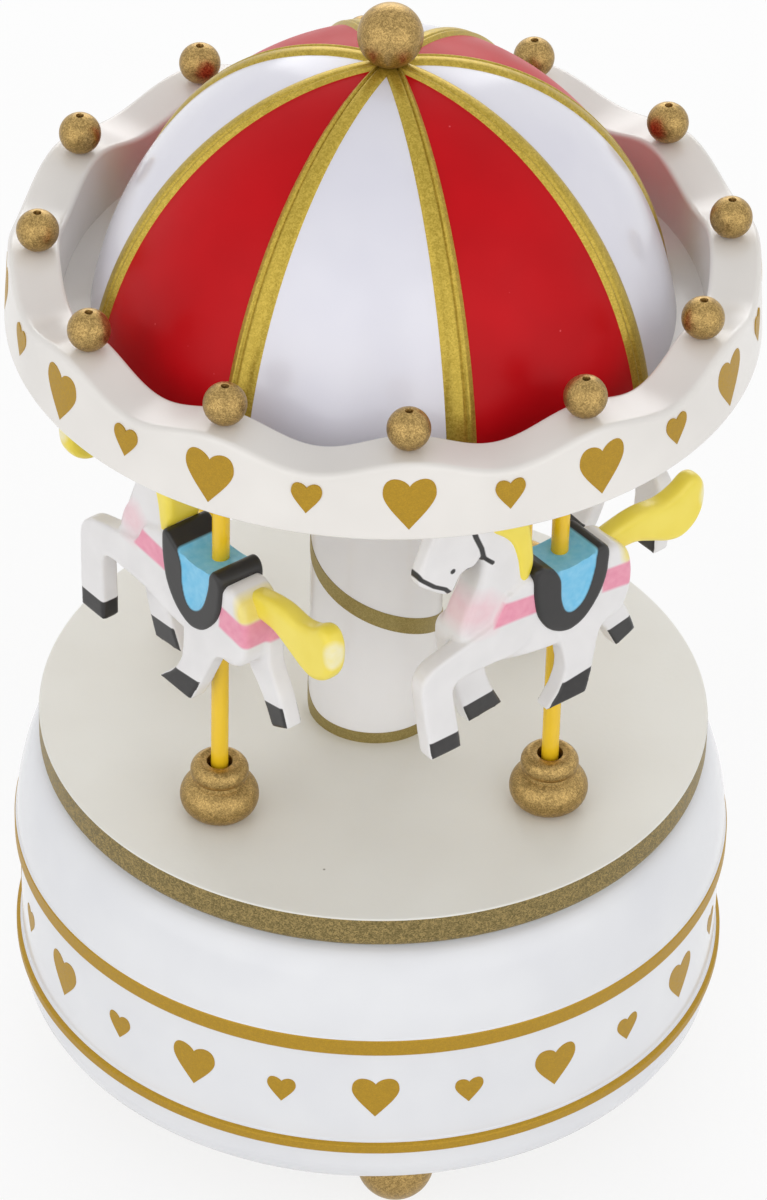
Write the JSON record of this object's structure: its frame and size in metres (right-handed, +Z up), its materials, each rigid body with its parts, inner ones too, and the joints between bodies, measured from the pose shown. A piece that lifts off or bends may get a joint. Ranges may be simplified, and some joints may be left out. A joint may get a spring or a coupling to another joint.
{
  "type": "carousel music box",
  "caption": "Toy carousel music box: round white base with gold lines, turning platform with horses on yellow poles, and a red and white dome with gold ribs and beads.",
  "frame": {"origin": "centre of the bounding box's bottom, on the table under the winding shaft", "axes": "+Z up along the winding shaft, -Y towards the front, the side the picture shows"},
  "size_m": [0.11, 0.11, 0.1864],
  "materials": {
    "white_shell": "gloss",
    "gold_bead": "metallic gold",
    "cover_board": "matte",
    "screw_steel": "satin",
    "movement_plate": "satin",
    "movement_brass": "satin",
    "movement_steel": "satin",
    "movement_nylon": "matte",
    "platform_board": "matte paint",
    "column_white": "gloss",
    "pole_yellow": "gloss",
    "horse_plastic": "gloss",
    "canopy_ivory": "gloss",
    "dome_enamel": "gloss"
  },
  "bodies": {
    "base": {"base_shell": "white_shell", "bottom_cover": "cover_board", "cover_screws": "screw_steel", "foot_front": "gold_bead", "foot_right": "gold_bead", "foot_rear": "gold_bead", "foot_left": "gold_bead", "foot_screws": "screw_steel", "movement_bedplate": "movement_plate", "bedplate_screws": "screw_steel", "shaft_bush": "movement_brass", "thrust_washer": "movement_nylon", "spring_housing": "movement_plate", "spring_posts": "movement_steel", "mainspring": "movement_steel", "inner_end_plate": "movement_plate", "outer_end_plate": "movement_plate", "comb": "movement_steel", "comb_screws": "screw_steel"},
    "carousel": {"winding_shaft": "movement_steel", "crown_wheel": "movement_brass", "column_hub": "column_white", "hub_screws": "screw_steel", "platform_disc": "platform_board", "pole_bead_1": "gold_bead", "pole_bead_2": "gold_bead", "pole_bead_3": "gold_bead", "pole_bead_4": "gold_bead", "pole_1": "pole_yellow", "pole_2": "pole_yellow", "pole_3": "pole_yellow", "pole_4": "pole_yellow", "horse_1": "horse_plastic", "horse_2": "horse_plastic", "horse_3": "horse_plastic", "horse_4": "horse_plastic", "centre_column": "column_white", "canopy_plate": "canopy_ivory", "canopy_screws": "screw_steel", "canopy_ring": "canopy_ivory", "crown_pins": "screw_steel", "crown_bead_1": "gold_bead", "crown_bead_2": "gold_bead", "crown_bead_3": "gold_bead", "crown_bead_4": "gold_bead", "crown_bead_5": "gold_bead", "crown_bead_6": "gold_bead", "crown_bead_7": "gold_bead", "crown_bead_8": "gold_bead", "crown_bead_9": "gold_bead", "crown_bead_10": "gold_bead", "crown_bead_11": "gold_bead", "crown_bead_12": "gold_bead", "dome": "dome_enamel", "finial_ball": "gold_bead"},
    "cylinder": {"cylinder_arbor": "movement_steel", "pinned_cylinder": "movement_brass", "cylinder_gear": "movement_brass"},
    "governor": {"governor_wheel": "movement_brass"},
    "fly": {"fly": "movement_nylon"}
  },
  "joints": [
    {"name": "carousel_turn", "type": "hinge", "parent": "base", "child": "carousel", "pos_m": [0, 0, 0.059], "axis": [0, 0, 1], "continuous": true},
    {"name": "cylinder_turn", "type": "hinge", "parent": "base", "child": "cylinder", "pos_m": [0.029, 0, 0.03975], "axis": [1, 0, 0], "continuous": true},
    {"name": "governor_turn", "type": "hinge", "parent": "base", "child": "governor", "pos_m": [0.029, 0, 0.02855], "axis": [1, 0, 0], "continuous": true},
    {"name": "fly_turn", "type": "hinge", "parent": "base", "child": "fly", "pos_m": [0.029, -0.0112, 0.02855], "axis": [1, 0, 0], "continuous": true}
  ],
  "couplings": [
    {"joint": "cylinder_turn", "follows": "carousel_turn", "ratio": -4},
    {"joint": "governor_turn", "follows": "carousel_turn", "ratio": 12},
    {"joint": "fly_turn", "follows": "carousel_turn", "ratio": -36}
  ]
}
